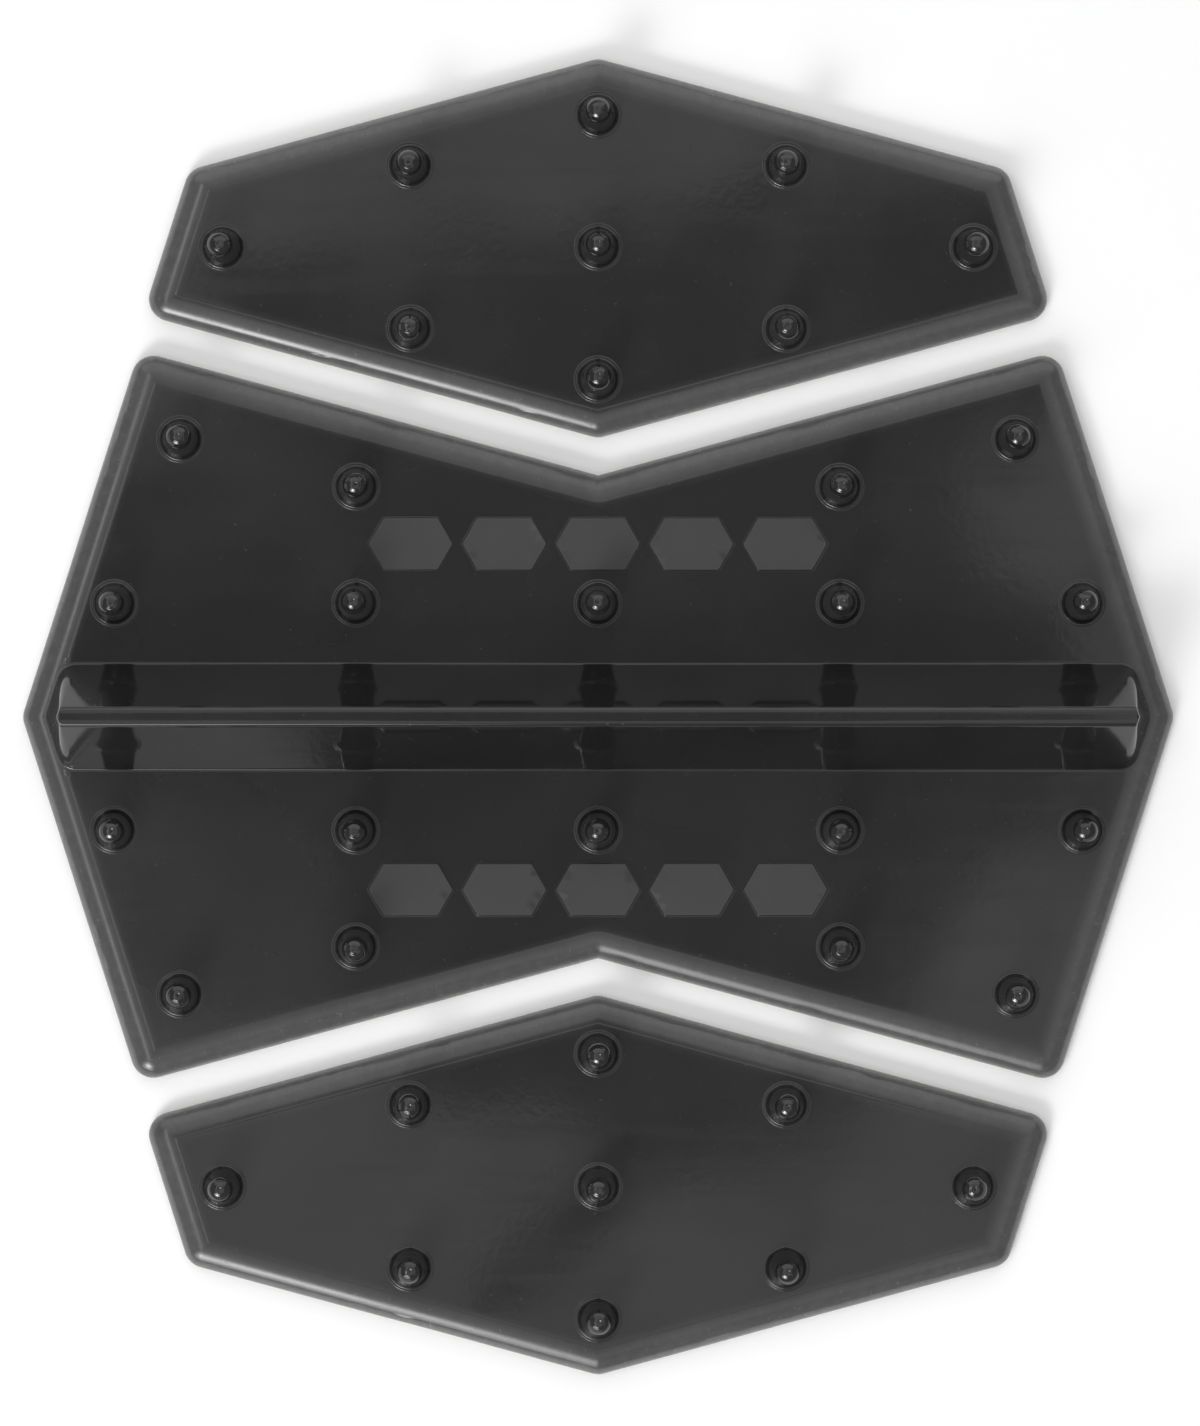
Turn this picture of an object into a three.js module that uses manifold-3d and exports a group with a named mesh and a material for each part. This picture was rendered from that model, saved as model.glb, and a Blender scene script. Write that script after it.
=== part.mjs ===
// Snowboard stomp pad: three loose soft-vinyl traction pads that stick to the deck between the bindings.
// Each pad is one moulding with studs on top, a die-cut adhesive sheet under it and a release liner below.
// Millimetres, +Z up. +X runs along the scraper ridge and +Y points to the upper pad.
// The origin is under the middle of the ridge, on the surface that the liners lie on.

import * as THREE from 'three';
import { LoftGeometry } from 'three/addons/geometries/LoftGeometry.js';
import { mergeVertices } from 'three/addons/utils/BufferGeometryUtils.js';
import Module from 'manifold-3d';

const { degToRad } = THREE.MathUtils;

// Layers of every pad, from the bottom up.
const LINER_THICKNESS = 0.15;
const ADHESIVE_THICKNESS = 0.4;
const PLATE_THICKNESS = 2.6;
const PLATE_BOTTOM = LINER_THICKNESS + ADHESIVE_THICKNESS;

// The two slopes that every outline is drawn with: the diagonals from the X axis, the sides from the Y axis.
const DIAGONAL_SLOPE = Math.tan(degToRad(15.2));
const SIDE_SLOPE = Math.tan(degToRad(17.7));

// Centre pad: a pointed tip at each end and a shallow notch on each long side.
const CENTRE_TIP_X = 72.2;
const CENTRE_NOTCH_Y = 30.25;

// Side pads: hexagons that nest against the notches, with Y measured from the pad's own middle.
const SIDE_PAD_OFFSET = 58.7;
const SIDE_PAD_APEX_Y = 23.8;
const SIDE_PAD_CORNER_X = 57.06;

// Outline corners. The sheets under a pad are cut a little smaller than it.
const CORNER_RADIUS = 2.8;
const INNER_CORNER_RADIUS = 0.3;
const NOTCH_RADIUS = 0.6;
const CORNER_STEPS = 3;
const SHEET_INSET = 0.3;

// Plate edge: an upright foot, a steep side and a gentle rounding into the flat top.
const EDGE_BAND = 3.2;
const EDGE_ROUNDING_RADIUS = 4.2;
const EDGE_ROUNDING_ANGLE = degToRad(34.8);
const EDGE_ROUNDING_STEPS = 2;
const EDGE_FOOT_HEIGHT = 0.9;

// Studs: tapered pegs with a flared foot and a domed tip. They sink into the plate so that they fuse with it.
const STUD_HEIGHT = 6.9;
const STUD_FOOT_RADIUS = 2.85;
const STUD_FOOT_HEIGHT = 0.85;
const STUD_NECK_RADIUS = 2.28;
const STUD_DOME_RADIUS = 1.65;
const STUD_SIDES = 12;
const STUD_DOME_STEPS = 3;
const SINK = 0.5;

// Stud places in the first quadrant of each pad, from its middle. Mirroring them gives all the studs.
const CENTRE_STUD_PITCH = 30.25;
const CENTRE_STUD_ROW_Y = 14.2;
const CENTRE_STUDS = [
  [0, CENTRE_STUD_ROW_Y],
  [CENTRE_STUD_PITCH, CENTRE_STUD_ROW_Y],
  [2 * CENTRE_STUD_PITCH, CENTRE_STUD_ROW_Y],
  [CENTRE_STUD_PITCH, 28.75],
  [52.2, 34.7],
];
const SIDE_STUDS = [[0, 0], [0, 16.55], [46.9, 0], [23.5, 10.2]];

// Scraper ridge: a tall bar with a narrow flat crest, following the pad's pointed ends.
const RIDGE_HEIGHT = 10.5;
const RIDGE_FOOT = { halfLength: 69.0, halfWidth: 6.55, cornerRadius: 1.8 };
const RIDGE_SHOULDER = { halfLength: 67.05, halfWidth: 1.3, cornerRadius: 0.6 };
const RIDGE_CREST = { halfLength: 66.65, halfWidth: 0.8, cornerRadius: 0.4 };
const RIDGE_CREST_ROUNDING = 0.4;

// Decoration: a row of raised hexagon panels on each side of the ridge.
const PANEL_COUNT = 5;
const PANEL_LENGTH = 10.7;
const PANEL_HEIGHT = 6.6;
const PANEL_POINT = 1.9;
const PANEL_GAP = 1.0;
const PANEL_RISE = 0.3;
const PANEL_ROW_Y = 21.6;

const wasm = await Module();
wasm.setup();

function vinyl() {
  return new THREE.MeshStandardMaterial({
    name: 'smoke_vinyl', color: 0x2c2c2e, roughness: 0.2, metalness: 0,
  });
}

function adhesive() {
  return new THREE.MeshStandardMaterial({
    name: 'adhesive', color: 0xcfcabb, roughness: 0.35, metalness: 0,
  });
}

function liner() {
  return new THREE.MeshStandardMaterial({ name: 'liner', color: 0xe8e6df, roughness: 0.6, metalness: 0 });
}

// Each place with its mirror images across both axes. A place on an axis has no image across it.
function mirrored(places) {
  return places.flatMap(([x, y]) => {
    const across = x === 0 ? [0] : [x, -x];
    const along = y === 0 ? [0] : [y, -y];
    return across.flatMap((imageX) => along.map((imageY) => [imageX, imageY]));
  });
}

// Sharp corners of the centre pad, anticlockwise from its right tip.
function centreCorners() {
  const cornerX = (CENTRE_TIP_X - SIDE_SLOPE * CENTRE_NOTCH_Y) / (1 + SIDE_SLOPE * DIAGONAL_SLOPE);
  const cornerY = CENTRE_NOTCH_Y + DIAGONAL_SLOPE * cornerX;
  return [
    new THREE.Vector2(CENTRE_TIP_X, 0),
    new THREE.Vector2(cornerX, cornerY),
    new THREE.Vector2(0, CENTRE_NOTCH_Y),
    new THREE.Vector2(-cornerX, cornerY),
    new THREE.Vector2(-CENTRE_TIP_X, 0),
    new THREE.Vector2(-cornerX, -cornerY),
    new THREE.Vector2(0, -CENTRE_NOTCH_Y),
    new THREE.Vector2(cornerX, -cornerY),
  ];
}

// Sharp corners of a side pad, anticlockwise from its outer apex. The inner corners are the wide pair.
function sideCorners() {
  const innerY = -SIDE_PAD_APEX_Y + DIAGONAL_SLOPE * SIDE_PAD_CORNER_X;
  const sideAtMiddle = SIDE_PAD_CORNER_X + SIDE_SLOPE * innerY;
  const outerX = (sideAtMiddle - SIDE_SLOPE * SIDE_PAD_APEX_Y) / (1 - SIDE_SLOPE * DIAGONAL_SLOPE);
  const outerY = SIDE_PAD_APEX_Y - DIAGONAL_SLOPE * outerX;
  return [
    new THREE.Vector2(0, SIDE_PAD_APEX_Y),
    new THREE.Vector2(-outerX, outerY),
    new THREE.Vector2(-SIDE_PAD_CORNER_X, innerY),
    new THREE.Vector2(0, -SIDE_PAD_APEX_Y),
    new THREE.Vector2(SIDE_PAD_CORNER_X, innerY),
    new THREE.Vector2(outerX, outerY),
  ];
}

// Ends of the ridge at one level, anticlockwise from its right tip.
function ridgeCorners({ halfLength, halfWidth }) {
  const shoulderX = halfLength - SIDE_SLOPE * halfWidth;
  return [
    new THREE.Vector2(halfLength, 0),
    new THREE.Vector2(shoulderX, halfWidth),
    new THREE.Vector2(-shoulderX, halfWidth),
    new THREE.Vector2(-halfLength, 0),
    new THREE.Vector2(-shoulderX, -halfWidth),
    new THREE.Vector2(shoulderX, -halfWidth),
  ];
}

// The outline of anticlockwise corners, moved in by an inset, with every corner rounded.
// Arcs keep their centres as the inset grows, down to the inner radius, so one outline's insets nest evenly.
function roundedOutline(corners, inset, cornerRadius) {
  return corners.flatMap((corner, i) => {
    const before = corners.at(i - 1);
    const after = corners[(i + 1) % corners.length];
    const heading = corner.clone().sub(before).angle();
    const turn = Math.atan2(
      corner.clone().sub(before).cross(after.clone().sub(corner)),
      corner.clone().sub(before).dot(after.clone().sub(corner)),
    );
    const radius = turn > 0 ? Math.max(cornerRadius - inset, INNER_CORNER_RADIUS) : -(NOTCH_RADIUS + inset);
    const toCentre = (inset + radius) / Math.cos(turn / 2);
    const middle = heading + turn / 2;
    const centre = new THREE.Vector2(
      corner.x - toCentre * Math.sin(middle),
      corner.y + toCentre * Math.cos(middle),
    );
    return Array.from({ length: CORNER_STEPS + 1 }, (_, step) => {
      const direction = heading + (turn * step) / CORNER_STEPS;
      return new THREE.Vector2(
        centre.x + radius * Math.sin(direction),
        centre.y - radius * Math.cos(direction),
      );
    });
  });
}

// Inset and height of the plate's edge, from the foot up to the flat top.
function edgeProfile() {
  const rounding = Array.from({ length: EDGE_ROUNDING_STEPS + 1 }, (_, step) => {
    const angle = EDGE_ROUNDING_ANGLE * (1 - step / EDGE_ROUNDING_STEPS);
    const inset = EDGE_BAND - EDGE_ROUNDING_RADIUS * Math.sin(angle);
    const height = PLATE_THICKNESS - EDGE_ROUNDING_RADIUS * (1 - Math.cos(angle));
    return [inset, height];
  });
  return [[0, 0], [0, EDGE_FOOT_HEIGHT], ...rounding];
}

// A closed solid through level rings of points, lowest ring first.
function loft(rings) {
  const sections = rings.map(({ outline, z }) => outline.map(({ x, y }) => new THREE.Vector3(x, y, z)));
  return new LoftGeometry(sections, { capStart: true, capEnd: true });
}

function plate(corners) {
  return loft(edgeProfile().map(([inset, height]) => ({
    outline: roundedOutline(corners, inset, CORNER_RADIUS),
    z: PLATE_BOTTOM + height,
  })));
}

function stud([x, y]) {
  const domeBase = STUD_HEIGHT - STUD_DOME_RADIUS;
  const dome = Array.from({ length: STUD_DOME_STEPS }, (_, step) => {
    const angle = ((step + 1) / STUD_DOME_STEPS) * (Math.PI / 2);
    const radius = step + 1 < STUD_DOME_STEPS ? STUD_DOME_RADIUS * Math.cos(angle) : 0;
    return new THREE.Vector2(radius, domeBase + STUD_DOME_RADIUS * Math.sin(angle));
  });
  const profile = [
    new THREE.Vector2(0, -SINK),
    new THREE.Vector2(STUD_FOOT_RADIUS, -SINK),
    new THREE.Vector2(STUD_FOOT_RADIUS, 0),
    new THREE.Vector2(STUD_NECK_RADIUS, STUD_FOOT_HEIGHT),
    new THREE.Vector2(STUD_DOME_RADIUS, domeBase),
    ...dome,
  ];
  return new THREE.LatheGeometry(profile, STUD_SIDES)
    .rotateX(Math.PI / 2)
    .translate(x, y, PLATE_BOTTOM + PLATE_THICKNESS);
}

function ridge() {
  const top = PLATE_BOTTOM + PLATE_THICKNESS;
  const levels = [
    { size: RIDGE_FOOT, z: top - SINK },
    { size: RIDGE_FOOT, z: top },
    { size: RIDGE_SHOULDER, z: top + RIDGE_HEIGHT - RIDGE_CREST_ROUNDING },
    { size: RIDGE_CREST, z: top + RIDGE_HEIGHT },
  ];
  return loft(levels.map(({ size, z }) => ({
    outline: roundedOutline(ridgeCorners(size), 0, size.cornerRadius),
    z,
  })));
}

function panel(x, y) {
  const half = PANEL_LENGTH / 2;
  const outline = new THREE.Shape([
    new THREE.Vector2(half, 0),
    new THREE.Vector2(half - PANEL_POINT, PANEL_HEIGHT / 2),
    new THREE.Vector2(PANEL_POINT - half, PANEL_HEIGHT / 2),
    new THREE.Vector2(-half, 0),
    new THREE.Vector2(PANEL_POINT - half, -PANEL_HEIGHT / 2),
    new THREE.Vector2(half - PANEL_POINT, -PANEL_HEIGHT / 2),
  ]);
  return new THREE.ExtrudeGeometry(outline, { depth: SINK + PANEL_RISE, bevelEnabled: false })
    .translate(x, y, PLATE_BOTTOM + PLATE_THICKNESS - SINK);
}

// A row of panels centred on the Y axis.
function panelRow(y) {
  const pitch = PANEL_LENGTH + PANEL_GAP;
  return Array.from({ length: PANEL_COUNT }, (_, i) => panel((i - (PANEL_COUNT - 1) / 2) * pitch, y));
}

// A three.js geometry as a solid that can be joined to others.
function toSolid(geometry) {
  const bare = new THREE.BufferGeometry();
  bare.setAttribute('position', geometry.attributes.position);
  bare.setIndex(geometry.index);
  const merged = mergeVertices(bare);
  return new wasm.Manifold(new wasm.Mesh({
    numProp: 3,
    vertProperties: merged.attributes.position.array,
    triVerts: merged.index.array,
  }));
}

// One geometry from several overlapping ones.
function fuse(geometries) {
  const joined = geometries.map(toSolid).reduce((whole, piece) => whole.add(piece)).getMesh();
  const geometry = new THREE.BufferGeometry();
  geometry.setAttribute('position', new THREE.BufferAttribute(joined.vertProperties, joined.numProp));
  geometry.setIndex(new THREE.BufferAttribute(joined.triVerts, 1));
  geometry.computeVertexNormals();
  return geometry;
}

// A flat sheet under a pad, cut to the pad's outline.
function sheet(corners, bottom, thickness) {
  const outline = new THREE.Shape(roundedOutline(corners, SHEET_INSET, CORNER_RADIUS));
  const geometry = new THREE.ExtrudeGeometry(outline, { depth: thickness, bevelEnabled: false });
  return geometry.translate(0, 0, bottom);
}

function named(name, geometry, material) {
  const mesh = new THREE.Mesh(geometry, material);
  mesh.name = name;
  return mesh;
}

// One pad with its own adhesive sheet and release liner.
function stackedPad(name, corners, mouldings) {
  const group = new THREE.Group();
  group.add(named(`${name}_liner`, sheet(corners, 0, LINER_THICKNESS), liner()));
  group.add(named(`${name}_adhesive`, sheet(corners, LINER_THICKNESS, ADHESIVE_THICKNESS), adhesive()));
  group.add(named(`${name}_pad`, fuse([plate(corners), ...mouldings]), vinyl()));
  return group;
}

function centrePad() {
  const studs = mirrored(CENTRE_STUDS).map(stud);
  const panels = [...panelRow(PANEL_ROW_Y), ...panelRow(-PANEL_ROW_Y)];
  return stackedPad('centre', centreCorners(), [ridge(), ...panels, ...studs]);
}

function sidePad(name) {
  return stackedPad(name, sideCorners(), mirrored(SIDE_STUDS).map(stud));
}

const stompPad = new THREE.Group();
stompPad.add(centrePad());

const upper = sidePad('upper');
upper.position.y = SIDE_PAD_OFFSET;
stompPad.add(upper);

const lower = sidePad('lower');
lower.position.y = -SIDE_PAD_OFFSET;
lower.rotation.z = Math.PI;
stompPad.add(lower);

export default stompPad;
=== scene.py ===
"""Snowboard stomp pad: three glossy smoke-vinyl mouldings, each on its adhesive sheet and release liner.

Shapes are worked out in millimetres in the CAD frame, with X along the scraper ridge, Y towards the upper
pad and Z up, and become metres when a mesh is made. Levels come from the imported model.
"""

import math
import random

import bpy
import numpy as np
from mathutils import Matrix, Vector
from mathutils.geometry import delaunay_2d_cdt
from mathutils.kdtree import KDTree


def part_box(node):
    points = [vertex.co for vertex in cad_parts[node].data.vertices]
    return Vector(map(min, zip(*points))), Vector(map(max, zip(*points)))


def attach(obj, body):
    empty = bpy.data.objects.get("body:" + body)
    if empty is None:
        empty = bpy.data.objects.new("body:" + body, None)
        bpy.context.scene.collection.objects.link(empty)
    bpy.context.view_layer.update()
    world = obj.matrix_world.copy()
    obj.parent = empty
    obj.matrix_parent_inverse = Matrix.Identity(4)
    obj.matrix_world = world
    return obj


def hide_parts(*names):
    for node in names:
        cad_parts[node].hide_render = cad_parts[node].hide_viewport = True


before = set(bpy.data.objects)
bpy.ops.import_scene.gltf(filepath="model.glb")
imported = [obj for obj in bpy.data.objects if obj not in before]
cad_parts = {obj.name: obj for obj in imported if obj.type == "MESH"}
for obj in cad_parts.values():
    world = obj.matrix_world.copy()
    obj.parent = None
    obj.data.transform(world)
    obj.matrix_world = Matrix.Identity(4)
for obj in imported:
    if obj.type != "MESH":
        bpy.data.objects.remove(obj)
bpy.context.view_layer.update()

MM = 0.001

# Levels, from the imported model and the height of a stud.
PLATE_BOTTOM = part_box("upper_pad")[0].z / MM
STUD_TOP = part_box("upper_pad")[1].z / MM
RIDGE_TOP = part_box("centre_pad")[1].z / MM
STUD_HEIGHT = 6.9
PLATE_TOP = STUD_TOP - STUD_HEIGHT
PLATE_THICKNESS = PLATE_TOP - PLATE_BOTTOM
RIDGE_HEIGHT = RIDGE_TOP - PLATE_TOP

# Outlines: one slope for every diagonal and one for every side.
DIAGONAL_SLOPE = math.tan(math.radians(15.2))
SIDE_SLOPE = math.tan(math.radians(17.7))
CENTRE_TIP_X = 72.2
CENTRE_NOTCH_Y = 30.25
SIDE_PAD_OFFSET = 58.7
SIDE_PAD_APEX_Y = 23.8
SIDE_PAD_CORNER_X = 57.06
CORNER_RADIUS = 2.8
INNER_CORNER_RADIUS = 0.3
NOTCH_RADIUS = 0.6
SHEET_INSET = 0.3
SHEET_BEVEL = 0.25  # as a share of the sheet's thickness

# Plate edge: a rounded foot, a steep side, a gentle rounding and a fine step up to the flat top.
EDGE_BAND = 3.2
EDGE_SIDE_RUN = 0.8
EDGE_ROUNDING_RADIUS = 4.2
EDGE_FOOT_RADIUS = 0.12
EDGE_FOOT_INSET = 0.5
EDGE_FOOT_HEIGHT = 0.3
EDGE_LOWER_PULL = 0.95
EDGE_UPPER_PULL = (0.3, 0.36)
EDGE_STEP_WIDTH = 0.22
EDGE_STEP_HEIGHT = 0.045

# Studs, with their places in each pad's first quadrant.
STUD_FOOT_RADIUS = 2.95
STUD_FOOT_COLLAR = 0.12
STUD_STEP_HEIGHT = 0.06
STUD_STEP_RUN = 0.08
STUD_FILLET_RADIUS = 2.72
STUD_FILLET_HEIGHT = 0.95
STUD_NECK_RADIUS = 2.28
STUD_DOME_RADIUS = 1.65
STUD_TIP_RADIUS = 0.38
STUD_TIP_DEPTH = 0.06
STUD_LEAN = 0.16
CENTRE_STUD_PITCH = 30.25
CENTRE_STUD_ROW_Y = 14.2
CENTRE_STUDS = [
    (0, CENTRE_STUD_ROW_Y),
    (CENTRE_STUD_PITCH, CENTRE_STUD_ROW_Y),
    (2 * CENTRE_STUD_PITCH, CENTRE_STUD_ROW_Y),
    (CENTRE_STUD_PITCH, 28.75),
    (52.2, 34.7),
]
SIDE_STUDS = [(0, 0), (0, 16.55), (46.9, 0), (23.5, 10.2)]

# Scraper ridge, whose long faces and ends lean in to a narrow crest.
RIDGE_HALF_LENGTH = 69.0
RIDGE_HALF_WIDTH = 6.55
RIDGE_FACE_RUN = 5.47
RIDGE_END_RUN = 2.15
RIDGE_CORNER_RADIUS = 2.3
RIDGE_CREST_CORNER_RADIUS = 0.28
RIDGE_FOOT_FILLET = 0.35
RIDGE_FOOT_COLLAR = 0.4
RIDGE_CREST_ROUNDING = 0.9
RIDGE_CREST_COLLAR = 0.75
RIDGE_SINK_FADE = 1.0

# Decoration: matte hexagon panels in a row on each side of the ridge.
PANEL_COUNT = 5
PANEL_LENGTH = 10.7
PANEL_HEIGHT = 6.6
PANEL_POINT = 1.9
PANEL_GAP = 1.0
PANEL_RISE = 0.3
PANEL_ROW_Y = 21.6
PANEL_COLLAR = 0.2
PANEL_FOOT_FILLET = 0.04
PANEL_SIDE_RUN = 0.06
PANEL_ROUNDING = 0.07
PANEL_RIM = 0.4
PANEL_CORNER_RADIUS = 0.3

# Mesh fineness.
EDGE_SPACING = 1.5
FLAT_SPACING = 1.3
SHEET_SPACING = 4.0
PANEL_SPACING = 1.0
CORNER_STEPS = 8
ROUNDING_STEPS = 10
FOOT_STEPS = 3
SIDE_STEPS = 8
STUD_SIDES = 40
GUIDE_CLEARANCE = 0.1
GRID_CLEARANCE = 0.6  # as a share of the grid's spacing
MERGE_DISTANCE = 1e-7

# Moulded surfaces are never quite true: this is how far and how broadly they wander.
WARP_HEIGHT = 0.05
WARP_SIDEWAYS = 0.06
WARP_WAVELENGTHS = (22, 29, 37, 48, 62, 80)

GLOSS, MATTE = 0, 1


def unit(vector):
    return vector / np.linalg.norm(vector)


def mirrored(places):
    """Each place with its mirror images across both axes. A place on an axis has no image across it."""
    return [
        (image_x, image_y)
        for x, y in places
        for image_x in sorted({x, -x})
        for image_y in sorted({y, -y})
    ]


def centre_corners():
    """Sharp corners of the centre pad, anticlockwise from its right tip."""
    x = (CENTRE_TIP_X - SIDE_SLOPE * CENTRE_NOTCH_Y) / (1 + SIDE_SLOPE * DIAGONAL_SLOPE)
    y = CENTRE_NOTCH_Y + DIAGONAL_SLOPE * x
    upper = [(CENTRE_TIP_X, 0), (x, y), (0, CENTRE_NOTCH_Y), (-x, y)]
    return np.array(upper + [(-a, -b) for a, b in upper], float)


def side_corners():
    """Sharp corners of a side pad, anticlockwise from its outer apex. The inner corners are the wide pair."""
    inner_y = -SIDE_PAD_APEX_Y + DIAGONAL_SLOPE * SIDE_PAD_CORNER_X
    side_at_middle = SIDE_PAD_CORNER_X + SIDE_SLOPE * inner_y
    outer_x = (side_at_middle - SIDE_SLOPE * SIDE_PAD_APEX_Y) / (1 - SIDE_SLOPE * DIAGONAL_SLOPE)
    outer_y = SIDE_PAD_APEX_Y - DIAGONAL_SLOPE * outer_x
    return np.array([
        (0, SIDE_PAD_APEX_Y),
        (-outer_x, outer_y),
        (-SIDE_PAD_CORNER_X, inner_y),
        (0, -SIDE_PAD_APEX_Y),
        (SIDE_PAD_CORNER_X, inner_y),
        (outer_x, outer_y),
    ])


def ridge_corners(half_length, half_width):
    """The ridge's plan at one level, anticlockwise from its right tip."""
    shoulder_x = half_length - SIDE_SLOPE * half_width
    upper = [(half_length, 0), (shoulder_x, half_width), (-shoulder_x, half_width)]
    return np.array(upper + [(-x, -y) for x, y in upper], float)


def panel_corners(x, y):
    """One hexagon panel, anticlockwise from its right point."""
    half = PANEL_LENGTH / 2
    upper = [(half, 0), (half - PANEL_POINT, PANEL_HEIGHT / 2), (PANEL_POINT - half, PANEL_HEIGHT / 2)]
    return np.array(upper + [(-a, -b) for a, b in upper], float) + (x, y)


def corner_arc(before, corner, after, inset, corner_radius):
    """The rounding of one corner of an outline that is moved in by inset."""
    arriving = unit(corner - before)
    leaving = unit(after - corner)
    heading = math.atan2(arriving[1], arriving[0])
    turn = math.atan2(arriving[0] * leaving[1] - arriving[1] * leaving[0], arriving @ leaving)
    if turn > 0:
        radius = max(corner_radius - inset, INNER_CORNER_RADIUS)
    else:
        radius = -(NOTCH_RADIUS + inset)
    to_centre = (inset + radius) / math.cos(turn / 2)
    middle = heading + turn / 2
    centre = corner + to_centre * np.array([-math.sin(middle), math.cos(middle)])
    directions = heading + turn * np.linspace(0, 1, CORNER_STEPS + 1)
    return centre + radius * np.column_stack([np.sin(directions), -np.cos(directions)])


def edge_steps(corners, spacing=EDGE_SPACING):
    """How many steps to take along each edge of an outline."""
    lengths = np.linalg.norm(np.roll(corners, -1, axis=0) - corners, axis=1)
    return [max(2, round(length / spacing)) for length in lengths]


def outline(corners, inset=0.0, corner_radius=CORNER_RADIUS, steps=None):
    """A rounded outline, moved in by inset, with as many points at every inset."""
    count = len(corners)
    arcs = [
        corner_arc(corners[i - 1], corners[i], corners[(i + 1) % count], inset, corner_radius)
        for i in range(count)
    ]
    points = []
    for i, edge in enumerate(steps or edge_steps(corners)):
        straight = np.linspace(arcs[i][-1], arcs[(i + 1) % count][0], edge + 1)[1:-1]
        points.extend([arcs[i], straight])
    return np.concatenate(points)


def rounded_profile(stations, steps=5):
    """A line through (run, height, radius) stations with each inner station rounded."""
    points = [stations[0][:2]]
    for before, (run, height, radius), after in zip(stations, stations[1:], stations[2:]):
        corner = np.array([run, height])
        arriving = unit(corner - np.array(before[:2]))
        leaving = unit(np.array(after[:2]) - corner)
        turn = math.atan2(arriving[0] * leaving[1] - arriving[1] * leaving[0], arriving @ leaving)
        heading = math.atan2(arriving[1], arriving[0])
        tangent = radius * math.tan(abs(turn) / 2)
        start = corner - tangent * arriving
        side = math.copysign(1, turn)
        centre = start + side * radius * np.array([-arriving[1], arriving[0]])
        for angle in heading + turn * np.linspace(0, 1, steps + 1):
            points.append(centre + side * radius * np.array([math.sin(angle), -math.cos(angle)]))
    points.append(stations[-1][:2])
    return np.array(points, float)


def bezier(a, b, c, d, steps):
    t = np.linspace(0, 1, steps + 1)[:, None]
    a, b, c, d = (np.array(p, float) for p in (a, b, c, d))
    return (1 - t) ** 3 * a + 3 * (1 - t) ** 2 * t * b + 3 * (1 - t) * t**2 * c + t**3 * d


def inside(points, loops):
    """Whether each point lies inside an odd number of loops."""
    x, y = points[:, 0], points[:, 1]
    odd = np.zeros(len(points), bool)
    for loop in loops:
        for (ax, ay), (bx, by) in zip(loop, np.roll(loop, -1, axis=0)):
            if ay != by:
                crossing = ax + (y - ay) / (by - ay) * (bx - ax)
                odd ^= ((ay > y) != (by > y)) & (x < crossing)
    return odd


def clear_of(points, obstacles, distance):
    """Whether each point is at least that far, in plan, from all the obstacles."""
    tree = KDTree(len(obstacles))
    for i, place in enumerate(obstacles):
        tree.insert((place[0], place[1], 0), i)
    tree.balance()
    return np.array([tree.find((p[0], p[1], 0))[2] > distance for p in points], bool)


def triangular_grid(low, high, spacing):
    rows = np.arange(low[1], high[1], spacing * math.sqrt(3) / 2)
    return np.array([
        (x + (spacing / 2 if row % 2 else 0), y)
        for row, y in enumerate(rows)
        for x in np.arange(low[0], high[0], spacing)
    ])


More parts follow.
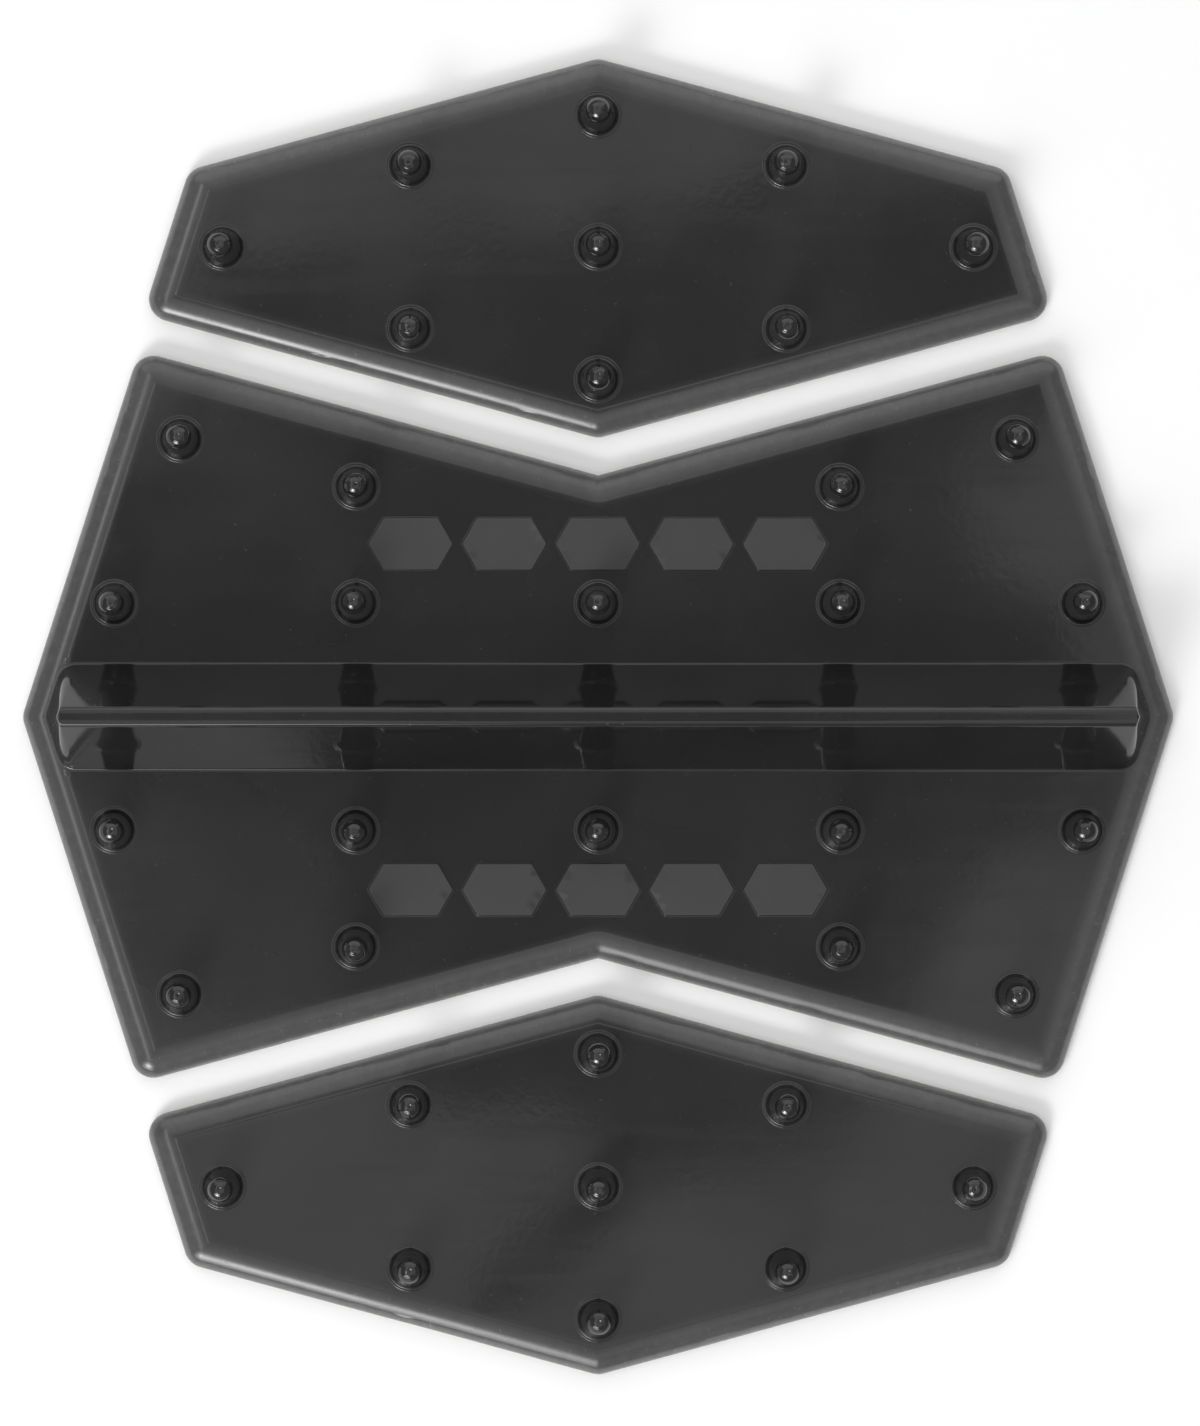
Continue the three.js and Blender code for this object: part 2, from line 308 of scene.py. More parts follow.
class Moulding:
    """A closed mesh put together from rings of points, in millimetres. Rings run anticlockwise from above."""

    def __init__(self):
        self.points = []
        self.faces = []
        self.finishes = []

    def ring(self, plan, height):
        """A ring at one height, or at a height for each point."""
        start = len(self.points)
        heights = np.broadcast_to(height, len(plan))
        self.points.extend(map(tuple, np.column_stack([plan, heights]).tolist()))
        return list(range(start, len(self.points)))

    def add_face(self, corners, finish=GLOSS):
        self.faces.append(corners)
        self.finishes.append(finish)

    def bridge(self, rings):
        """Skins a run of rings, from the lowest or outermost one."""
        for lower, upper in zip(rings, rings[1:]):
            for i, start in enumerate(lower):
                after = (i + 1) % len(lower)
                self.add_face((start, lower[after], upper[after], upper[i]))

    def fan(self, ring, point):
        self.points.append(point)
        for i, start in enumerate(ring):
            self.add_face((start, ring[(i + 1) % len(ring)], len(self.points) - 1))

    def fill(self, outer, holes=(), guides=(), spacing=FLAT_SPACING, finish=GLOSS, faces_up=True):
        """Covers the space inside the outer ring and outside the holes with small triangles.

        Guides are closed lines that the surface follows, broken off where they come near a ring. Inside the
        last of them the surface is level.
        """
        rings = [outer, *holes]
        names = [index for ring in rings for index in ring]
        loops = [np.array([self.points[i][:2] for i in ring]) for ring in rings]
        rim = np.array([self.points[i] for i in names])
        edges = []
        for ring in rings:
            start = len(edges)
            edges.extend((start + i, start + (i + 1) % len(ring)) for i in range(len(ring)))
        lines = [rim]
        count = len(rim)
        for guide in guides:
            kept = clear_of(guide, rim, GUIDE_CLEARANCE) & inside(guide, loops)
            numbers = count + np.cumsum(kept) - 1
            both = kept & np.roll(kept, -1)
            edges.extend(zip(numbers[both].tolist(), np.roll(numbers, -1)[both].tolist()))
            lines.append(guide[kept])
            count += int(kept.sum())
        lines = np.concatenate(lines)
        grid = triangular_grid(rim.min(axis=0), rim.max(axis=0), spacing)
        grid = grid[clear_of(grid, lines, GRID_CLEARANCE * spacing) & inside(grid, loops)]
        level = np.full(len(grid), lines[-1][2])
        added = np.concatenate([lines[len(rim):], np.column_stack([grid, level])])
        names += range(len(self.points), len(self.points) + len(added))
        self.points.extend(map(tuple, added.tolist()))
        flat = np.concatenate([rim[:, :2], added[:, :2]])
        made = delaunay_2d_cdt([Vector(p) for p in flat], edges, [], 0, MERGE_DISTANCE)
        places, triangles, origins = made[0], made[2], made[3]
        centroids = np.array([sum((places[i] for i in t), Vector((0, 0))) / 3 for t in triangles])
        for triangle, kept in zip(triangles, inside(centroids, loops)):
            if kept:
                corners = [names[origins[i][0]] for i in triangle]
                self.add_face(corners if faces_up else corners[::-1], finish)


def side_profile():
    """Inset and height of the plate's edge, from its underside up to where the top rounding starts."""
    side_top = PLATE_THICKNESS - edge_drop(EDGE_SIDE_RUN)
    foot = rounded_profile([
        (EDGE_FOOT_INSET, 0, 0),
        (0, 0, EDGE_FOOT_RADIUS),
        (0, EDGE_FOOT_HEIGHT, 0),
    ], FOOT_STEPS)[:-1]
    low_pull = (0, EDGE_LOWER_PULL)
    high_pull = (EDGE_SIDE_RUN - EDGE_UPPER_PULL[0], side_top - EDGE_UPPER_PULL[1])
    side = bezier(foot[-1], low_pull, high_pull, (EDGE_SIDE_RUN, side_top), SIDE_STEPS)
    return np.concatenate([foot, side[1:]])


def edge_drop(inset):
    """How far below the flat top the plate's rim has dropped at an inset from the outline."""
    run = np.clip(EDGE_BAND - inset, 0, EDGE_ROUNDING_RADIUS)
    step = np.clip((inset - EDGE_BAND) / EDGE_STEP_WIDTH, 0, 1)
    rounding = EDGE_ROUNDING_RADIUS - np.sqrt(EDGE_ROUNDING_RADIUS**2 - run**2)
    return rounding + EDGE_STEP_HEIGHT * (1 + np.cos(math.pi * step)) / 2


def top_guides(corners):
    """Lines round the plate's top: the rounding, the fine step inside it and the start of the flat."""
    step = EDGE_BAND + EDGE_STEP_WIDTH * np.array([0.2, 0.4, 0.6, 0.8, 1, 2])
    guides = []
    for inset in [*np.linspace(EDGE_SIDE_RUN, EDGE_BAND, ROUNDING_STEPS + 1)[1:], *step]:
        plan = outline(corners, inset)
        guides.append(np.column_stack([plan, np.full(len(plan), PLATE_TOP - edge_drop(inset))]))
    return guides


def stud_profile():
    """Radius and height of a stud, from the plate to the rim of its tip."""
    step = [
        (STUD_FOOT_RADIUS + STUD_FOOT_COLLAR, 0),
        (STUD_FOOT_RADIUS, 0),
        (STUD_FOOT_RADIUS - 0.3 * STUD_STEP_RUN, 0.4 * STUD_STEP_HEIGHT),
        (STUD_FOOT_RADIUS - 0.6 * STUD_STEP_RUN, 0.8 * STUD_STEP_HEIGHT),
        (STUD_FOOT_RADIUS - STUD_STEP_RUN, STUD_STEP_HEIGHT),
        (STUD_FOOT_RADIUS - 1.5 * STUD_STEP_RUN, STUD_STEP_HEIGHT),
    ]
    turns = np.linspace(0, math.pi / 2, 7)
    fillet = np.column_stack([
        STUD_FILLET_RADIUS - (STUD_FILLET_RADIUS - STUD_NECK_RADIUS) * np.sin(turns),
        STUD_FILLET_HEIGHT - (STUD_FILLET_HEIGHT - STUD_STEP_HEIGHT) * np.cos(turns),
    ])
    dome_base = STUD_HEIGHT - STUD_DOME_RADIUS
    flank = np.linspace(fillet[-1], (STUD_DOME_RADIUS, dome_base), 7)[1:]
    rim_turn = math.acos(STUD_TIP_RADIUS / STUD_DOME_RADIUS)
    turns = np.linspace(0, rim_turn, 11)[1:]
    dome = np.column_stack([
        STUD_DOME_RADIUS * np.cos(turns),
        dome_base + STUD_DOME_RADIUS * np.sin(turns),
    ])
    tip_height = dome[-1][1]
    dimple = [
        (0.9 * STUD_TIP_RADIUS, tip_height),
        (0.75 * STUD_TIP_RADIUS, tip_height - 0.7 * STUD_TIP_DEPTH),
        (0.5 * STUD_TIP_RADIUS, tip_height - STUD_TIP_DEPTH),
    ]
    return np.concatenate([step, fillet, flank, dome, dimple])


def add_stud(body, x, y, rng):
    """A stud that leans a little its own way. Returns the ring where it meets the plate."""
    lean_x = rng.uniform(-STUD_LEAN, STUD_LEAN)
    lean_y = rng.uniform(-STUD_LEAN, STUD_LEAN)
    turns = np.linspace(0, 2 * math.pi, STUD_SIDES, endpoint=False)
    circle = np.column_stack([np.cos(turns), np.sin(turns)])
    rings = []
    for radius, height in stud_profile():
        share = (height / STUD_HEIGHT) ** 2
        centre = (x + lean_x * share, y + lean_y * share)
        rings.append(body.ring(circle * radius + centre, PLATE_TOP + height))
    body.bridge(rings)
    body.fan(rings[-1], (*centre, body.points[rings[-1][0]][2]))
    return rings[0]


def add_ridge(body):
    """The scraper ridge. Returns its lowest ring.

    Its ends stand on the plate's rounded rim, so its foot sinks with the rim.
    """
    profile = rounded_profile([
        (-RIDGE_FOOT_COLLAR, 0, 0),
        (0, 0, RIDGE_FOOT_FILLET),
        (RIDGE_FACE_RUN, RIDGE_HEIGHT, RIDGE_CREST_ROUNDING),
        (RIDGE_FACE_RUN + RIDGE_CREST_COLLAR, RIDGE_HEIGHT, 0),
    ])
    steps = edge_steps(ridge_corners(RIDGE_HALF_LENGTH, RIDGE_HALF_WIDTH))
    rings = []
    for run, height in profile:
        share = min(max(run / RIDGE_FACE_RUN, 0), 1)
        half_length = RIDGE_HALF_LENGTH - (RIDGE_END_RUN * share if run > 0 else run)
        radius = RIDGE_CORNER_RADIUS + (RIDGE_CREST_CORNER_RADIUS - RIDGE_CORNER_RADIUS) * share
        plan = outline(ridge_corners(half_length, RIDGE_HALF_WIDTH - run), 0, radius, steps)
        sunk = edge_drop(distance_to_outline(plan, centre_corners())) * max(1 - height / RIDGE_SINK_FADE, 0)
        rings.append(body.ring(plan, PLATE_TOP + height - sunk))
    body.bridge(rings)
    body.fill(rings[-1])
    return rings[0]


def add_panel(body, x, y):
    """A raised panel with a matte top. Returns the ring where it meets the plate."""
    profile = rounded_profile([
        (-PANEL_COLLAR, 0, 0),
        (0, 0, PANEL_FOOT_FILLET),
        (PANEL_SIDE_RUN, PANEL_RISE, PANEL_ROUNDING),
        (PANEL_RIM, PANEL_RISE, 0),
    ], FOOT_STEPS)
    corners = panel_corners(x, y)
    steps = edge_steps(corners, PANEL_SPACING)
    rings = [
        body.ring(outline(corners, inset, PANEL_CORNER_RADIUS, steps), PLATE_TOP + height)
        for inset, height in profile
    ]
    body.bridge(rings)
    for i in range(len(body.faces) - len(rings[0]), len(body.faces)):
        body.finishes[i] = MATTE
    body.fill(rings[-1], finish=MATTE)
    return rings[0]


def panel_places():
    """The middles of all the panels."""
    pitch = PANEL_LENGTH + PANEL_GAP
    return [
        ((i - (PANEL_COUNT - 1) / 2) * pitch, y)
        for y in (PANEL_ROW_Y, -PANEL_ROW_Y)
        for i in range(PANEL_COUNT)
    ]


def warp(points, rng):
    """Lets a moulding's surfaces wander a little, keeping its underside flat."""
    x, y, z = points.T
    moved = points.copy()
    lift = np.clip((z - PLATE_BOTTOM) / PLATE_THICKNESS, 0, 1)
    for axis, size in ((0, WARP_SIDEWAYS), (1, WARP_SIDEWAYS), (2, WARP_HEIGHT)):
        for wavelength in WARP_WAVELENGTHS:
            direction = rng.uniform(0, 2 * math.pi)
            phase = rng.uniform(0, 2 * math.pi)
            along = x * math.cos(direction) + y * math.sin(direction)
            height = size * wavelength / sum(WARP_WAVELENGTHS)
            wave = height * np.sin(2 * math.pi * along / wavelength + phase)
            moved[:, axis] += wave * (lift if axis == 2 else 1)
    return moved


def distance_to_outline(points, corners):
    """How far each point is, in plan, from the nearest edge of an outline."""
    plan = points[:, :2]
    nearest = np.full(len(points), np.inf)
    for start, end in zip(corners, np.roll(corners, -1, axis=0)):
        along = end - start
        share = np.clip(((plan - start) @ along) / (along @ along), 0, 1)
        away = np.linalg.norm(plan - (start + share[:, None] * along), axis=1)
        nearest = np.minimum(nearest, away)
    return nearest


def make_object(name, points, faces, materials, finishes=None):
    """A smooth-shaded object from points in millimetres."""
    mesh = bpy.data.meshes.new(name)
    mesh.from_pydata((points * MM).tolist(), [], faces)
    for material in materials:
        mesh.materials.append(material)
    if finishes is not None:
        mesh.polygons.foreach_set("material_index", finishes)
    mesh.polygons.foreach_set("use_smooth", [True] * len(mesh.polygons))
    mesh.validate()
    mesh.update()
    obj = bpy.data.objects.new(name, mesh)
    bpy.context.scene.collection.objects.link(obj)
    return obj


def add_attribute(obj, name, values):
    attribute = obj.data.attributes.new(name, "FLOAT", "POINT")
    attribute.data.foreach_set("value", np.asarray(values, np.float32))


def build_pad(name, body, corners, studs, turned, offset_y, features, seed):
    """One vinyl moulding that replaces its CAD solid."""
    rng = random.Random(seed)
    moulding = Moulding()
    rings = [
        moulding.ring(outline(corners, inset), PLATE_BOTTOM + height)
        for inset, height in side_profile()
    ]
    moulding.bridge(rings)
    moulding.fill(rings[0], spacing=SHEET_SPACING, faces_up=False)
    holes = [add_stud(moulding, x, y, rng) for x, y in mirrored(studs)]
    holes += features(moulding)
    moulding.fill(rings[-1], holes, top_guides(corners))
    points = np.array(moulding.points)
    edge_distance = distance_to_outline(points, corners)
    stud_middles = np.array(mirrored(studs), float)
    stud_distance = np.linalg.norm(points[:, None, :2] - stud_middles[None], axis=2).min(axis=1)
    points = warp(points, rng)
    if turned:
        points[:, :2] *= -1
    points[:, 1] += offset_y
    pad = make_object(name, points, moulding.faces, [VINYL, VINYL_MATTE], moulding.finishes)
    add_attribute(pad, "edge_distance", edge_distance)
    add_attribute(pad, "stud_distance", stud_distance)
    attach(pad, body)
    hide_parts(name)


def build_sheet(name, body, corners, turned, offset_y, material):
    """An adhesive sheet or a release liner, with a softly rounded cut edge, in place of its CAD solid."""
    low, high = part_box(name)
    bottom, top = low.z / MM, high.z / MM
    bevel = SHEET_BEVEL * (top - bottom)
    sheet = Moulding()
    profile = [(bevel, bottom), (0, bottom + bevel), (0, top - bevel), (bevel, top)]
    rings = [sheet.ring(outline(corners, SHEET_INSET + inset), height) for inset, height in profile]
    sheet.bridge(rings)
    sheet.fill(rings[0], spacing=SHEET_SPACING, faces_up=False)
    sheet.fill(rings[-1], spacing=SHEET_SPACING)
    points = np.array(sheet.points)
    if turned:
        points[:, :2] *= -1
    points[:, 1] += offset_y
    obj = make_object(name + "_sheet", points, sheet.faces, [material])
    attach(obj, body)
    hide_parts(name)


# Looks. Colours are linear, distances in millimetres, and bump heights in metres.
VINYL_DEEP = (0.0115, 0.0115, 0.0118)
# Painted light: the lighter rim colour below stands in for light shining through the thin vinyl.
VINYL_RIM_LIGHT_THROUGH = (0.20, 0.20, 0.20)
VINYL_IOR = 1.53
MATTE_DARK = (0.026, 0.026, 0.027)
MATTE_LIGHT = (0.035, 0.035, 0.036)
FOAM_DARK = (0.56, 0.54, 0.47)
FOAM_LIGHT = (0.66, 0.64, 0.57)
PAPER_DARK = (0.70, 0.68, 0.61)
PAPER_LIGHT = (0.78, 0.77, 0.71)
FIBRE_COLOUR = (0.52, 0.48, 0.39)
TURNING_PITCH = 0.4
TURNING_BUMP = 0.000007
RIPPLE_BUMP = 0.000005
PEEL_BUMP = 0.000002
GRAIN_BUMP = 0.00003
CELL_BUMP = 0.00003
FIBRE_BUMP = 0.00002
NOISE_RANGE = (0.3, 0.7)  # where most of a noise's values lie

# A mix node's sockets for colours: the first, the second and the result.
MIX_FIRST, MIX_SECOND, MIX_RESULT = 6, 7, 2


def new_material(name):
    """An empty node material with its Principled shader."""
    material = bpy.data.materials.new(name)
    material.use_nodes = True
    nodes = material.node_tree.nodes
    nodes.clear()
    output = nodes.new("ShaderNodeOutputMaterial")
    shader = nodes.new("ShaderNodeBsdfPrincipled")
    material.node_tree.links.new(shader.outputs["BSDF"], output.inputs["Surface"])
    return material, shader


def dress(material, shader, colour, roughness, normal):
    """Links a shader's colour, roughness and normal."""
    for name, socket in (("Base Color", colour), ("Roughness", roughness), ("Normal", normal)):
        material.node_tree.links.new(socket, shader.inputs[name])


def add_node(material, kind, inputs=None, **settings):
    """A node with its settings, and its inputs set to values or linked to sockets."""
    node = material.node_tree.nodes.new(kind)
    for name, value in settings.items():
        setattr(node, name, value)
    for name, value in (inputs or {}).items():
        if isinstance(value, bpy.types.NodeSocket):
            material.node_tree.links.new(value, node.inputs[name])
        else:
            node.inputs[name].default_value = value
    return node


def noise(material, scale, detail=3.0, roughness=0.5, stretch=(1, 1, 1)):
    """Noise over the object's own shape, as a socket from 0 to 1. Scale is in features per metre."""
    place = add_node(material, "ShaderNodeTexCoord").outputs["Object"]
    stretched = add_node(material, "ShaderNodeMapping", {"Vector": place, "Scale": stretch})
    node = add_node(
        material,
        "ShaderNodeTexNoise",
        {
            "Vector": stretched.outputs["Vector"],
            "Scale": scale,
            "Detail": detail,
            "Roughness": roughness,
        },
    )
    return node.outputs["Fac"]


def remap(material, value, low, high, to_low, to_high, smooth=False):
    node = add_node(
        material,
        "ShaderNodeMapRange",
        {"Value": value, "From Min": low, "From Max": high, "To Min": to_low, "To Max": to_high},
        interpolation_type="SMOOTHSTEP" if smooth else "LINEAR",
    )
    return node.outputs["Result"]


def maths(material, operation, first, second=0.0):
    node = add_node(material, "ShaderNodeMath", {0: first, 1: second}, operation=operation)
    return node.outputs["Value"]


def attribute(material, name):
    return add_node(material, "ShaderNodeAttribute", attribute_name=name).outputs["Fac"]


def mix_colour(material, share, first, second):
    node = add_node(material, "ShaderNodeMix", {"Factor": share}, data_type="RGBA")
    for socket, value in ((node.inputs[MIX_FIRST], first), (node.inputs[MIX_SECOND], second)):
        if isinstance(value, bpy.types.NodeSocket):
            material.node_tree.links.new(value, socket)
        else:
            socket.default_value = (*value, 1)
    return node.outputs[MIX_RESULT]


def bump(material, height, distance, normal=None):
    """Bump of a height in metres for a full step of the height socket."""
    inputs = {"Height": height, "Distance": distance, "Strength": 1.0}
    if normal is not None:
        inputs["Normal"] = normal
    return add_node(material, "ShaderNodeBump", inputs).outputs["Normal"]


def vinyl_colour(material, deep, thin):
    """Smoke vinyl: nearly black where it is thick, and lighter on its thin rim, which is painted light: a
    lighter colour that stands in for light soaking through the thin vinyl.
    """
    edge_distance = attribute(material, "edge_distance")
    # Painted light on the outer edge and the edge band: a lighter colour standing in for light shining
    # through the thin rim.
    lip_light_through = remap(material, edge_distance, 0.0, 1.0, 0.35, 0.0)
    band_light_through = remap(material, edge_distance, 0.8, 4.5, 0.3, 0.0, smooth=True)
    mottle = remap(material, noise(material, 800, 3.0, 0.6), *NOISE_RANGE, 0.85, 1.15)
    rim = maths(material, "MULTIPLY", maths(material, "ADD", lip_light_through, band_light_through), mottle)
    clouds = remap(material, noise(material, 60), *NOISE_RANGE, 0.0, 0.03)
    return mix_colour(material, maths(material, "ADD", rim, clouds), deep, thin)


def make_vinyl():
    """Glossy moulded vinyl: mould ripple, turned rings on the studs, smudges, scratches and a rubbed rim."""
    material, shader = new_material("smoke_vinyl")
    # The colour carries painted light on the thin rim, standing in for light shining through it.
    colour = vinyl_colour(material, VINYL_DEEP, VINYL_RIM_LIGHT_THROUGH)
    smudges = remap(material, noise(material, 45, 5.0, 0.6), 0.45, 0.75, 0.055, 0.11)
    specks = remap(material, noise(material, 1600, 1.0), 0.72, 0.78, 0.0, 0.25)
    streaks = remap(material, noise(material, 500, 3.0, 0.6, (0.06, 1, 1)), 0.5, 0.75, 0.0, 0.035)
    handled = remap(material, attribute(material, "edge_distance"), 2.2, 3.4, 0.17, 0.0)
    marks = maths(material, "ADD", specks, streaks)
    roughness = maths(material, "ADD", smudges, maths(material, "ADD", marks, handled))
    stud_distance = attribute(material, "stud_distance")
    rings = maths(material, "SINE", maths(material, "MULTIPLY", stud_distance, 2 * math.pi / TURNING_PITCH))
    on_stud = remap(material, stud_distance, 2.7, 3.0, 1.0, 0.0)
    turned = bump(material, maths(material, "MULTIPLY", rings, on_stud), TURNING_BUMP)
    ripple = bump(material, noise(material, 90, 1.0), RIPPLE_BUMP, normal=turned)
    peel = bump(material, noise(material, 900, 2.0), PEEL_BUMP, normal=ripple)
    dress(material, shader, colour, roughness, peel)
    shader.inputs["IOR"].default_value = VINYL_IOR
    return material


def make_matte_vinyl():
    """The same vinyl where the mould is spark-textured."""
    material, shader = new_material("smoke_vinyl_matte")
    grain = noise(material, 5200, 3.0, 0.6)
    mottle = remap(material, noise(material, 220, 4.0), *NOISE_RANGE, 0.35, 0.65)
    colour = mix_colour(material, mottle, MATTE_DARK, MATTE_LIGHT)
    roughness = remap(material, grain, *NOISE_RANGE, 0.5, 0.66)
    dress(material, shader, colour, roughness, bump(material, grain, GRAIN_BUMP))
    return material


def make_adhesive():
    """Milky acrylic foam tape, with fine cells and a slight tack shine."""
    material, shader = new_material("adhesive")
    cells = add_node(
        material,
        "ShaderNodeTexVoronoi",
        {"Vector": add_node(material, "ShaderNodeTexCoord").outputs["Object"], "Scale": 3500},
    ).outputs["Distance"]
    mottle = remap(material, noise(material, 130, 4.0), *NOISE_RANGE, 0.0, 1.0)
    colour = mix_colour(material, mottle, FOAM_DARK, FOAM_LIGHT)
    roughness = remap(material, noise(material, 300, 3.0), *NOISE_RANGE, 0.28, 0.42)
    dress(material, shader, colour, roughness, bump(material, cells, CELL_BUMP))
    return material


def make_liner():
    """Silicone-coated kraft paper: fibres, faint clouds and a waxy sheen."""
    material, shader = new_material("release_liner")
    fibres = noise(material, 900, 6.0, 0.7, (1, 5, 1))
    clouds = remap(material, noise(material, 70, 5.0), *NOISE_RANGE, 0.0, 1.0)
    paper = mix_colour(material, clouds, PAPER_DARK, PAPER_LIGHT)
    flecks = remap(material, fibres, 0.55, 0.75, 0.0, 0.35)
    colour = mix_colour(material, flecks, paper, FIBRE_COLOUR)
    roughness = remap(material, fibres, *NOISE_RANGE, 0.42, 0.58)
    dress(material, shader, colour, roughness, bump(material, fibres, FIBRE_BUMP))
    return material


VINYL = make_vinyl()
VINYL_MATTE = make_matte_vinyl()
ADHESIVE = make_adhesive()
LINER = make_liner()


def centre_features(moulding):
    """The ridge and the panels of the centre pad."""
    return [add_ridge(moulding)] + [add_panel(moulding, x, y) for x, y in panel_places()]


def build_stacks():
    """The three pads, each with its sheets."""
    for name, corners, studs, turned, offset_y, features, seed in (
        ("centre", centre_corners(), CENTRE_STUDS, False, 0, centre_features, 3),
        ("upper", side_corners(), SIDE_STUDS, False, SIDE_PAD_OFFSET, lambda moulding: [], 5),
        ("lower", side_corners(), SIDE_STUDS, True, -SIDE_PAD_OFFSET, lambda moulding: [], 8),
    ):
        pad_body = name + "_stomp_pad"
        build_pad(name + "_pad", pad_body, corners, studs, turned, offset_y, features, seed)
        build_sheet(name + "_adhesive", pad_body, corners, turned, offset_y, ADHESIVE)
        build_sheet(name + "_liner", name + "_backing", corners, turned, offset_y, LINER)


# Camera: straight above, just off the middle, framing 150 mm across the pads' flat tops.
CAMERA_PLACE = (0.25, 0.47)
CAMERA_HEIGHT = 900
FRAME_WIDTH = 150
FRAME_PIXELS = (1200, 1426)
SENSOR_SIZE = 36


def make_camera():
    data = bpy.data.cameras.new("camera")
    frame_height = FRAME_WIDTH * FRAME_PIXELS[1] / FRAME_PIXELS[0]
    data.sensor_width = SENSOR_SIZE
    data.lens = SENSOR_SIZE * CAMERA_HEIGHT / frame_height
    camera = bpy.data.objects.new("camera", data)
    camera.location = (CAMERA_PLACE[0] * MM, CAMERA_PLACE[1] * MM, (PLATE_TOP + CAMERA_HEIGHT) * MM)
    bpy.context.scene.collection.objects.link(camera)
    bpy.context.scene.camera = camera


def aim(obj, target):
    direction = Vector(target) - obj.location
    obj.rotation_euler = direction.to_track_quat("-Z", "Y").to_euler()


def area_light(name, place, target, size, radiance):
    """A rectangular softbox, placed and sized in metres. Radiance is how bright it looks from the front."""
    data = bpy.data.lights.new(name, "AREA")
    data.shape = "RECTANGLE"
    data.size, data.size_y = size
    data.energy = radiance * math.pi * size[0] * size[1]
    light = bpy.data.objects.new(name, data)
    light.location = place
    light.visible_camera = False
    aim(light, target)
    bpy.context.scene.collection.objects.link(light)


def direction_from(azimuth, zenith, distance):
    """A place that far away at those angles. Azimuth is anticlockwise from +X."""
    a, z = math.radians(azimuth), math.radians(zenith)
    return Vector((math.sin(z) * math.cos(a), math.sin(z) * math.sin(a), math.cos(z))) * distance


# Softboxes that face the middle: azimuth and zenith in degrees, distance and size in metres, and radiance.
SOFTBOXES = {
    "key": (243, 57, 1.2, (0.86, 0.52), 3.8),
    "key_middle": (243, 54, 1.15, (0.34, 0.2), 18),
    "strip": (180, 29, 1.3, (1.1, 0.16), 3),
    "back": (90, 58, 1.3, (2.6, 1.0), 1.1),
}
OVERHEAD_X = 0.1
OVERHEAD_HEIGHT = 1.3
OVERHEAD_SIZE = (1.9, 1.9)
OVERHEAD_RADIANCE = 0.72


def make_lights():
    """A key softbox with a hot middle in front, a strip on the left, a low back panel and an overhead one."""
    for name, (azimuth, zenith, distance, size, radiance) in SOFTBOXES.items():
        area_light(name, direction_from(azimuth, zenith, distance), (0, 0, 0), size, radiance)
    place = (OVERHEAD_X, 0, OVERHEAD_HEIGHT)
    area_light("overhead", place, (OVERHEAD_X, 0, 0), OVERHEAD_SIZE, OVERHEAD_RADIANCE)


# The grey card round the camera and a pale one behind it, in millimetres from the camera's axis. The pads
# reflect their outlines.
HOOD_OUTLINE = [
    (116, 29), (97, 43), (91, 52), (91, 69), (140, 90), (112, 131), (80, 135), (60, 137), (40, 134),
    (28, 129), (10, 126), (0, 121), (-29, 123), (-58, 119), (-104, 112), (-90, 84), (-112, 62), (-150, 50),
    (-160, -4), (-125, -16), (-104, -20), (-80, -24), (-70, -36), (-66, -66), (-50, -88), (-36, -100),
    (-4, -105), (-12, -118), (-30, -132), (-36, -148), (-12, -146), (6, -124), (62, -106), (78, -67),
    (81, -57), (87, -44), (96, -32), (109, -24), (130, -20),
]
WING_OUTLINE = [
    (-36, 0), (-160, 0), (-130, -30), (-122, -62), (-104, -79), (-88, -76), (-70, -72), (-50, -70),
]
HOOD_CLEARANCE = 10
WING_CLEARANCE = 14
HOOD_GREY = 0.3
WING_GREY = 0.52
FLOOR_GREY = 0.92
FLOOR_REACH = 3000
BACKDROP_ROUGHNESS = 0.9

# The room's strength at the sides and overhead, and the heights of gaze, as sines, between which it changes.
ROOM_STRENGTH = 0.3
ROOF_STRENGTH = 0.2
ROOF_START = 0.6
ROOF_FULL = 0.85


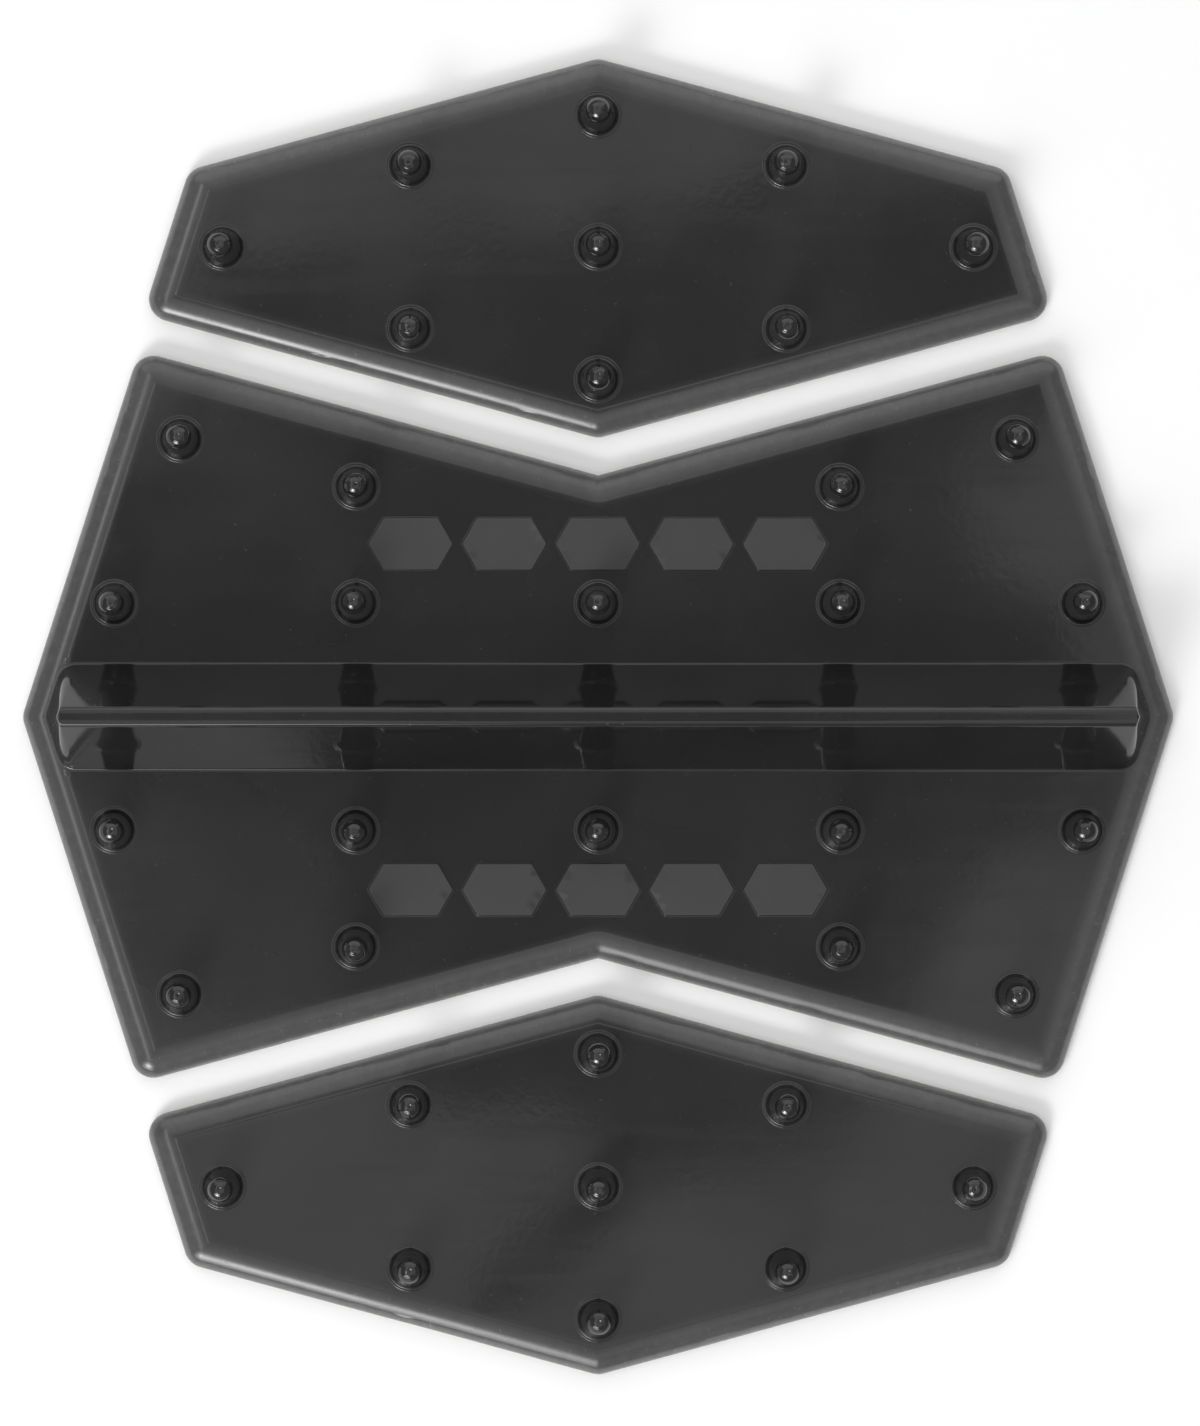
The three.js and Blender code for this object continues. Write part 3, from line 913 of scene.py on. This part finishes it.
def make_card(name, corners, clearance, grey):
    """A card over the camera, which shows only as a patch in the pads' shine."""
    corners = np.array(corners, float)
    points = np.column_stack([corners, np.zeros(len(corners))])
    material, shader = new_material(name)
    shader.inputs["Base Color"].default_value = (grey, grey, grey, 1)
    shader.inputs["Roughness"].default_value = BACKDROP_ROUGHNESS
    card = make_object(name, points, [tuple(range(len(points)))], [material])
    card.location.z = (PLATE_TOP + CAMERA_HEIGHT + clearance) * MM
    card.visible_camera = False


def make_floor():
    material, shader = new_material("floor")
    shader.inputs["Base Color"].default_value = (FLOOR_GREY, FLOOR_GREY, FLOOR_GREY, 1)
    shader.inputs["Roughness"].default_value = BACKDROP_ROUGHNESS
    size = FLOOR_REACH
    points = np.array([(size, -size, 0), (size, size, 0), (-size, size, 0), (-size, -size, 0)], float)
    make_object("floor", points, [(0, 1, 2, 3)], [material])


def make_world():
    """A dim grey room, a little darker overhead."""
    world = bpy.data.worlds.new("studio")
    bpy.context.scene.world = world
    world.use_nodes = True
    tree = world.node_tree
    direction = tree.nodes.new("ShaderNodeTexCoord").outputs["Generated"]
    split = tree.nodes.new("ShaderNodeSeparateXYZ")
    ramp = tree.nodes.new("ShaderNodeMapRange")
    ramp.interpolation_type = "SMOOTHSTEP"
    ramp.inputs["From Min"].default_value = ROOF_START
    ramp.inputs["From Max"].default_value = ROOF_FULL
    ramp.inputs["To Min"].default_value = ROOM_STRENGTH
    ramp.inputs["To Max"].default_value = ROOF_STRENGTH
    tree.links.new(direction, split.inputs["Vector"])
    tree.links.new(split.outputs["Z"], ramp.inputs["Value"])
    background = tree.nodes["Background"]
    background.inputs["Color"].default_value = (1, 1, 1, 1)
    tree.links.new(ramp.outputs["Result"], background.inputs["Strength"])


make_camera()
build_stacks()
make_lights()
make_card("hood", HOOD_OUTLINE, HOOD_CLEARANCE, HOOD_GREY)
make_card("wing", WING_OUTLINE, WING_CLEARANCE, WING_GREY)
make_floor()
make_world()
bpy.context.scene.view_settings.view_transform = "Standard"
